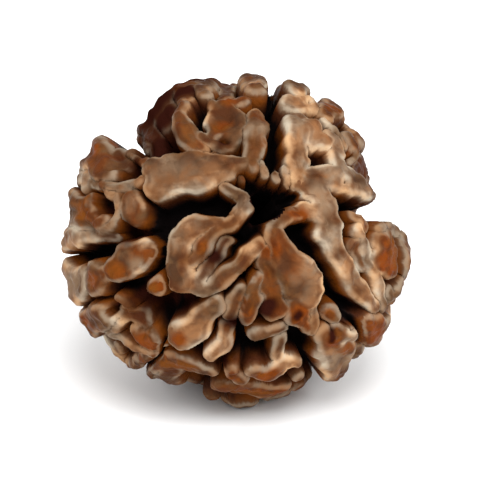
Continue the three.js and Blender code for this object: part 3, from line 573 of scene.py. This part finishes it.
def patches(directions, spots):
    """How much each direction lies in one of the spots, with soft edges."""
    share = np.zeros(len(directions))
    for u, v, radius, strength in spots:
        gap = np.linalg.norm(directions - facing(u, v, 0), axis=1) * WAIST_RADIUS
        part = smooth(np.clip(PATCH_END - gap / radius, 0, 1))
        share = np.maximum(share, strength * part)
    return share


# Painted shade with soot: the walls of the deep clefts darken sooner.
CLEFT_SHADE_AND_SOOT = 2.5          # how much sooner the walls of the clefts darken than a groove's
SHELL_CALM = 0.85         # part of the unevenness that the smooth dark shell lacks
WARP = 0.09               # wander of the lobes' outlines
SWELL = 0.12              # slow rise and fall of the tops
SWELL_START = -0.2        # inside a lobe's edge
RIPPLE = 0.035            # fine unevenness
CREASE_DEPTH = 0.06
CREASE_WIDTH = 0.13       # in the units of the noise that they follow
CREASE_START = 0.1        # inside a lobe's edge
CREASE_FADE = 0.3
LIP_MIDDLE = 0.02         # inside a lobe's edge
LIP_WIDTH = 0.16

# Each noise is (count of waves, shortest and longest wave).
WARP_WAVES = (14, 0.9, 2.6)
SWELL_WAVES = (20, 2.2, 5.0)
RIPPLE_WAVES = (60, 0.35, 1.2)
CREASE_WAVES = (24, 1.6, 4.0)
WARP_SEEDS = (11, 12, 13)
SWELL_SEED = 21
RIPPLE_SEED = 22
CREASE_SEED = 23


def bead_mesh():
    """The skin without its thread hole, with what the material needs at each corner."""
    directions, faces = sphere(SPHERE_SPLITS)
    on_ball = directions * WAIST_RADIUS
    rough = 1 - SHELL_CALM * patches(directions, SHELL_PATCHES)
    warps = [rough * Waves(seed, *WARP_WAVES)(on_ball) for seed in WARP_SEEDS]
    warped = unit(directions + WARP / WAIST_RADIUS * np.stack(warps, axis=1))

    clefts = clefts_to_far_mouth()
    lobes = all_lobes(clefts)
    cuts = [{"depth": depth, "line": stroke(0, points)} for depth, *points in PITS]
    for corner in MOUTH_CORNERS:
        cuts.append({"depth": CLEFT_DEPTH, "line": stroke(MOUTH_RISE, (MOUTH_MIDDLE, corner))})
    for line in clefts:
        cuts.append({"depth": CLEFT_DEPTH, "line": line})
    far_pit = {"rise": 0, "at": far_mouth[None], "half": np.array([FAR_MOUTH_RADIUS])}
    cuts.append({"depth": CLEFT_DEPTH, "line": far_pit})

    inside, rise, depth, way_out, nearest = relief(warped, lobes, cuts)
    height = rise + profile(inside, depth)
    height += SWELL * rough * Waves(SWELL_SEED, *SWELL_WAVES)(on_ball) * (inside > SWELL_START)
    height += RIPPLE * rough * Waves(RIPPLE_SEED, *RIPPLE_WAVES)(on_ball)
    crease = np.exp(-((Waves(CREASE_SEED, *CREASE_WAVES)(on_ball) / CREASE_WIDTH) ** 2))
    crease *= np.clip((inside - CREASE_START) / CREASE_FADE, 0, 1)
    height -= CREASE_DEPTH * rough * crease
    height = np.maximum(height, -CLEFT_DEPTH)
    radius = envelope(directions) + height

    lip = LIP * np.exp(-((inside - LIP_MIDDLE) / LIP_WIDTH) ** 2)
    sideways = way_out - np.einsum("ij,ij->i", way_out, directions)[:, None] * directions
    points = directions * radius[:, None] + sideways * lip[:, None]
    floor = -CENTRE[2]
    below = points[:, 2] < floor
    points[below] *= (floor / points[below, 2])[:, None]

    mesh = bpy.data.meshes.new("bead_skin")
    mesh.from_pydata(((points + CENTRE) * MM).tolist(), [], faces.tolist())
    random = np.random.default_rng(TINT_SEED)
    tints = random.uniform(0, 1, len(lobes))
    values = {
        "edge": np.where(depth >= CLEFT_DEPTH, inside * CLEFT_SHADE_AND_SOOT, inside),
        "tint": tints[nearest],
        "ochre": patches(warped, OCHRE_PATCHES),
        # Painted shade spots together with the bead's own smooth dark shell.
        "shade_and_shell": np.maximum(patches(warped, PAINTED_SHADE_PATCHES), patches(warped, SHELL_PATCHES)),
        "sunk": -rise,
        # Worn pale patches, partly painted light on the lit right side and the left limb.
        "worn_and_lit": patches(warped, WORN_AND_LIT_PATCHES),
    }
    for name, value in values.items():
        layer = mesh.attributes.new(name, "FLOAT", "POINT")
        layer.data.foreach_set("value", value.astype(np.float32))
    return mesh


def pierce(skin):
    """Cuts the thread hole through the skin."""
    bpy.ops.mesh.primitive_cylinder_add(
        vertices=HOLE_SIDES, radius=THREAD_HOLE_RADIUS * MM, depth=DRILL_LENGTH * MM,
        location=CENTRE * MM, rotation=Vector(hole_axis).to_track_quat("Z", "Y").to_euler())
    drill = bpy.context.object
    cut = skin.modifiers.new("thread_hole", "BOOLEAN")
    cut.object = drill
    cut.operation = "DIFFERENCE"
    cut.solver = "MANIFOLD"
    shown = skin.evaluated_get(bpy.context.evaluated_depsgraph_get())
    pierced = bpy.data.meshes.new_from_object(shown)
    place = np.empty(3 * len(pierced.vertices), np.float32)
    pierced.vertices.foreach_get("co", place)
    from_centre = place.reshape(-1, 3) / MM - CENTRE
    off_axis = np.linalg.norm(np.cross(from_centre, hole_axis), axis=1)
    layer = pierced.attributes["edge"]
    edge = np.empty(len(layer.data), np.float32)
    layer.data.foreach_get("value", edge)
    edge[off_axis < HOLE_WALL * THREAD_HOLE_RADIUS] = FAR_OUTSIDE
    layer.data.foreach_set("value", edge)
    skin.modifiers.clear()
    skin.data = pierced
    bpy.data.objects.remove(drill)


class Graph:
    """Short ways to add nodes to a material. Lengths are given in millimetres."""

    def __init__(self, material):
        self.tree = material.node_tree
        self.nodes = self.tree.nodes
        self.place = self.nodes.new("ShaderNodeTexCoord").outputs["Object"]

    def put(self, socket, value):
        if isinstance(value, bpy.types.NodeSocket):
            self.tree.links.new(value, socket)
        elif isinstance(value, tuple):
            socket.default_value = (*value, 1)
        else:
            socket.default_value = value

    def attribute(self, name):
        node = self.nodes.new("ShaderNodeAttribute")
        node.attribute_name = name
        return node.outputs["Fac"]

    def noise(self, size, detail, wander):
        node = self.nodes.new("ShaderNodeTexNoise")
        self.put(node.inputs["Vector"], self.place)
        self.put(node.inputs["Scale"], 1 / (size * MM))
        self.put(node.inputs["Detail"], detail)
        self.put(node.inputs["Distortion"], wander)
        return node.outputs["Fac"]

    def math(self, operation, first, second=0.0):
        node = self.nodes.new("ShaderNodeMath")
        node.operation = operation
        self.put(node.inputs[0], first)
        self.put(node.inputs[1], second)
        return node.outputs["Value"]

    def times(self, first, second):
        return self.math("MULTIPLY", first, second)

    def fade(self, value, low, high, start=0.0, end=1.0):
        """Runs smoothly from start to end while value goes from low to high."""
        node = self.nodes.new("ShaderNodeMapRange")
        node.interpolation_type = "SMOOTHSTEP"
        self.put(node.inputs["Value"], value)
        self.put(node.inputs["From Min"], low)
        self.put(node.inputs["From Max"], high)
        self.put(node.inputs["To Min"], start)
        self.put(node.inputs["To Max"], end)
        return node.outputs["Result"]

    def mix(self, share, first, second, blend="MIX"):
        node = self.nodes.new("ShaderNodeMix")
        node.data_type = "RGBA"
        node.blend_type = blend
        self.put(node.inputs["Factor"], share)
        self.put(node.inputs["A"], first)
        self.put(node.inputs["B"], second)
        return node.outputs["Result"]

    def bump(self, height, depth, under=None):
        node = self.nodes.new("ShaderNodeBump")
        self.put(node.inputs["Height"], height)
        self.put(node.inputs["Distance"], depth * MM)
        if under is not None:
            self.put(node.inputs["Normal"], under)
        return node.outputs["Normal"]


PALE = (0.47, 0.34, 0.22)
GOLD = (0.225, 0.122, 0.062)
TAN = (0.115, 0.050, 0.019)
BROWN = (0.055, 0.022, 0.009)
ORANGE = (0.145, 0.036, 0.003)
RUST = (0.075, 0.020, 0.003)
RED = (0.045, 0.011, 0.003)
# Near-black of the grooves: soot, and painted shade.
SOOT_AND_SHADE = (0.003, 0.002, 0.002)
# The dark shell's own colour, also used for the painted shade spots.
SHELL_AND_SHADE = (0.022, 0.005, 0.003)

# Tones that the colours of the tops are multiplied with.
WARM = (1.06, 0.88, 0.70)
GREY = (0.93, 1.08, 1.25)


# Noises in the wood, as (length, detail, wander).
MOTTLE = (1.8, 2, 0.2)
STREAK = (0.7, 4, 0.3)
GRAIN = (0.16, 3, 0.0)
LINE_NOISE = (0.9, 3, 0.4)
RIM_NOISE = (1.1, 2, 0.3)
WEATHER = (1.5, 3, 0.3)

# Fades, as (where it starts, where it is over) and then what it runs between, if that
# isn't 0 and 1. Most go by the distance inside a lobe's edge, and some by a noise, by
# the worn and painted-lit patches, by the painted shade and dark shell, or by how low the top lies.
EDGE_WANDER = (0.3, 0.7, -0.25, 0.25)
BROWN_MIDDLE = (0.1, 0.75)
GILT = (0.3, 0.6, 0.6, 1.0)
BARE = (0.6, 0.05, 0.0, 0.42)
RUST_TO_ORANGE = (0.05, 0.45)
RAW_LOBES = (0.3, 1.0, 0.05, 0.8)
RAW_SPOTS = (0.35, 0.6)
RAW_LEFT_BY_WEAR_AND_LIGHT = (0.0, 1.0, 1.0, 0.15)
LOW_TOPS = (0.15, 0.9, 0.0, 0.8)
LINE_START = (0.2, 0.34)
LINE_END = (0.6, 0.4)
LINE_BREAKS = (0.4, 0.56)
RIM_START = (0.0, 0.07)
RIM_END = (0.28, 0.1)
RIM_BREAKS = (0.34, 0.54)
RIM_BY_WEAR_AND_LIGHT = (0.0, 1.0, 0.35, 1.0)
WEATHERED = (0.36, 0.64)
SIDE_SPOTS = (0.4, 0.62)
SIDE_TO_TOP = (-0.06, 0.07)
# Painted shade, with soot, down the walls into the grooves.
SOOT_AND_SHADE_TO_SIDE = (-0.24, 0.0)
ROUGHNESS = (0.3, 0.7, 0.4, 0.6)
GROOVE_ROUGHNESS = (-0.4, 0.0, 0.8, 0.0)
SHINE = (-0.4, 0.0, 0.0, 0.04)
SHINE_LEFT_BY_SHADE_AND_SHELL = (0.0, 0.7, 1.0, 0.0)

LINE_STRENGTH = 0.4
STREAK_DEPTH = 0.12
GRAIN_DEPTH = 0.04


def wood_material():
    material = bpy.data.materials.new("seed_wood")
    material.use_nodes = True
    graph = Graph(material)
    shader = graph.nodes["Principled BSDF"]
    edge = graph.attribute("edge")
    tint = graph.attribute("tint")
    ochre = graph.attribute("ochre")
    worn_and_lit = graph.attribute("worn_and_lit")
    shade_and_shell = graph.attribute("shade_and_shell")
    sunk = graph.attribute("sunk")
    mottle = graph.noise(*MOTTLE)
    streak = graph.noise(*STREAK)
    grain = graph.noise(*GRAIN)

    # The tops: tan with brown middles, golden to pale where worn and where painted light falls
    # on the lit right side and the hazy left limb, orange where the skin is still on.
    far_in = graph.math("ADD", edge, graph.fade(streak, *EDGE_WANDER))
    top = graph.mix(graph.fade(far_in, *BROWN_MIDDLE), TAN, BROWN)
    gilt = graph.times(graph.fade(mottle, *GILT), worn_and_lit)
    top = graph.mix(gilt, top, GOLD)
    bare_and_lit = graph.times(graph.fade(far_in, *BARE), worn_and_lit)
    top = graph.mix(bare_and_lit, top, PALE)
    raw = graph.mix(graph.fade(far_in, *RUST_TO_ORANGE), RUST, ORANGE)
    share = graph.times(graph.fade(tint, *RAW_LOBES), graph.fade(mottle, *RAW_SPOTS))
    # Less orange skin where worn and where painted light pales the tops.
    share = graph.times(share, graph.fade(worn_and_lit, *RAW_LEFT_BY_WEAR_AND_LIGHT))
    share = graph.math("MAXIMUM", share, ochre)
    top = graph.mix(share, top, raw)

    # Tops that lie low are darker: painted shade of the hollows, with the dirt that gathers there.
    top = graph.mix(graph.fade(sunk, *LOW_TOPS), top, RED)

    # A worn pale band along the edges, broken here and there and strongest in the worn and painted-lit
    # patches, with a dark line inside it.
    line = graph.times(graph.fade(edge, *LINE_START), graph.fade(edge, *LINE_END))
    line = graph.times(line, graph.fade(graph.noise(*LINE_NOISE), *LINE_BREAKS))
    top = graph.mix(graph.times(line, LINE_STRENGTH), top, RED)
    rim = graph.times(graph.fade(edge, *RIM_START), graph.fade(edge, *RIM_END))
    rim = graph.times(rim, graph.fade(graph.noise(*RIM_NOISE), *RIM_BREAKS))
    rim = graph.times(rim, graph.fade(worn_and_lit, *RIM_BY_WEAR_AND_LIGHT))
    top = graph.mix(rim, top, PALE)

    # The tops weather unevenly, warmer in some areas and greyer in others.
    hue = graph.mix(graph.fade(graph.noise(*WEATHER), *WEATHERED), WARM, GREY)
    top = graph.mix(1.0, top, hue, "MULTIPLY")

    # The sides fall from orange to red-brown, and to near-black down in the grooves: soot, and painted
    # shade.
    side = graph.mix(graph.fade(mottle, *SIDE_SPOTS), RED, ORANGE)
    colour = graph.mix(graph.fade(edge, *SIDE_TO_TOP), side, top)
    colour = graph.mix(graph.fade(edge, *SOOT_AND_SHADE_TO_SIDE), SOOT_AND_SHADE, colour)
    # Painted shade in the pits, the hole mouth and between lobes, and the real dark shell, both in the
    # shell colour.
    colour = graph.mix(shade_and_shell, colour, SHELL_AND_SHADE)
    graph.put(shader.inputs["Base Color"], colour)

    roughness = graph.fade(streak, *ROUGHNESS)
    roughness = graph.math("MAXIMUM", roughness, graph.fade(edge, *GROOVE_ROUGHNESS))
    graph.put(shader.inputs["Roughness"], roughness)
    shine = graph.times(graph.fade(edge, *SHINE), graph.fade(shade_and_shell, *SHINE_LEFT_BY_SHADE_AND_SHELL))
    graph.put(shader.inputs["Specular IOR Level"], shine)
    coarse = graph.bump(streak, STREAK_DEPTH)
    graph.put(shader.inputs["Normal"], graph.bump(grain, GRAIN_DEPTH, coarse))
    return material


def look_at(thing, place, target):
    thing.location = place
    thing.rotation_mode = "QUATERNION"
    thing.rotation_quaternion = (Vector(target) - Vector(place)).to_track_quat("-Z", "Y")


def area_light(name, place, size, power):
    data = bpy.data.lights.new(name, "AREA")
    data.shape = "DISK"
    data.size = size
    data.energy = power
    lamp = bpy.data.objects.new(name, data)
    bpy.context.scene.collection.objects.link(lamp)
    look_at(lamp, place, CENTRE * MM)


skin = bpy.data.objects.new("bead_skin", bead_mesh())
bpy.context.scene.collection.objects.link(skin)
pierce(skin)
skin.data.shade_smooth()
skin.data.materials.clear()
skin.data.materials.append(wood_material())
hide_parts("bead")
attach(skin, "root")

# Floor, light and camera, placed in metres
FLOOR_SIZE = 4
FLOOR_WHITE = (0.95, 0.95, 0.95, 1)
FLOOR_ROUGHNESS = 0.9
SKY_STRENGTH = 0.9
LIGHTS = {                # place, size and power
    "key": ((0.02, -0.18, 0.29), 0.20, 0.88),
    "left_box": ((-0.27, -0.12, 0.22), 0.14, 0.28),
    "right_box": ((0.27, -0.12, 0.22), 0.16, 0.56),
}
FRAME_WIDTH = 24.0        # millimetres of the picture at the bead's centre
SENSOR = 36.0
AIM_RIGHT = 0.25          # millimetres, picture centre from the bead's centre

bpy.ops.mesh.primitive_plane_add(size=FLOOR_SIZE)
floor = bpy.context.object
floor.name = "floor"
paper = bpy.data.materials.new("paper")
paper.use_nodes = True
paper_shader = paper.node_tree.nodes["Principled BSDF"]
paper_shader.inputs["Base Color"].default_value = FLOOR_WHITE
paper_shader.inputs["Roughness"].default_value = FLOOR_ROUGHNESS
floor.data.materials.append(paper)

for name, settings in LIGHTS.items():
    area_light(name, *settings)

world = bpy.data.worlds.new("studio")
world.use_nodes = True
sky = world.node_tree.nodes["Background"]
sky.inputs["Color"].default_value = (1, 1, 1, 1)
sky.inputs["Strength"].default_value = SKY_STRENGTH
bpy.context.scene.world = world
bpy.context.scene.view_settings.view_transform = "Standard"

camera_data = bpy.data.cameras.new("camera")
camera_data.sensor_width = SENSOR
camera_data.lens = SENSOR * VIEW_DISTANCE / FRAME_WIDTH
camera = bpy.data.objects.new("camera", camera_data)
bpy.context.scene.collection.objects.link(camera)
aim = CENTRE + AIM_RIGHT * right
look_at(camera, (aim + VIEW_DISTANCE * toward) * MM, aim * MM)
bpy.context.scene.camera = camera
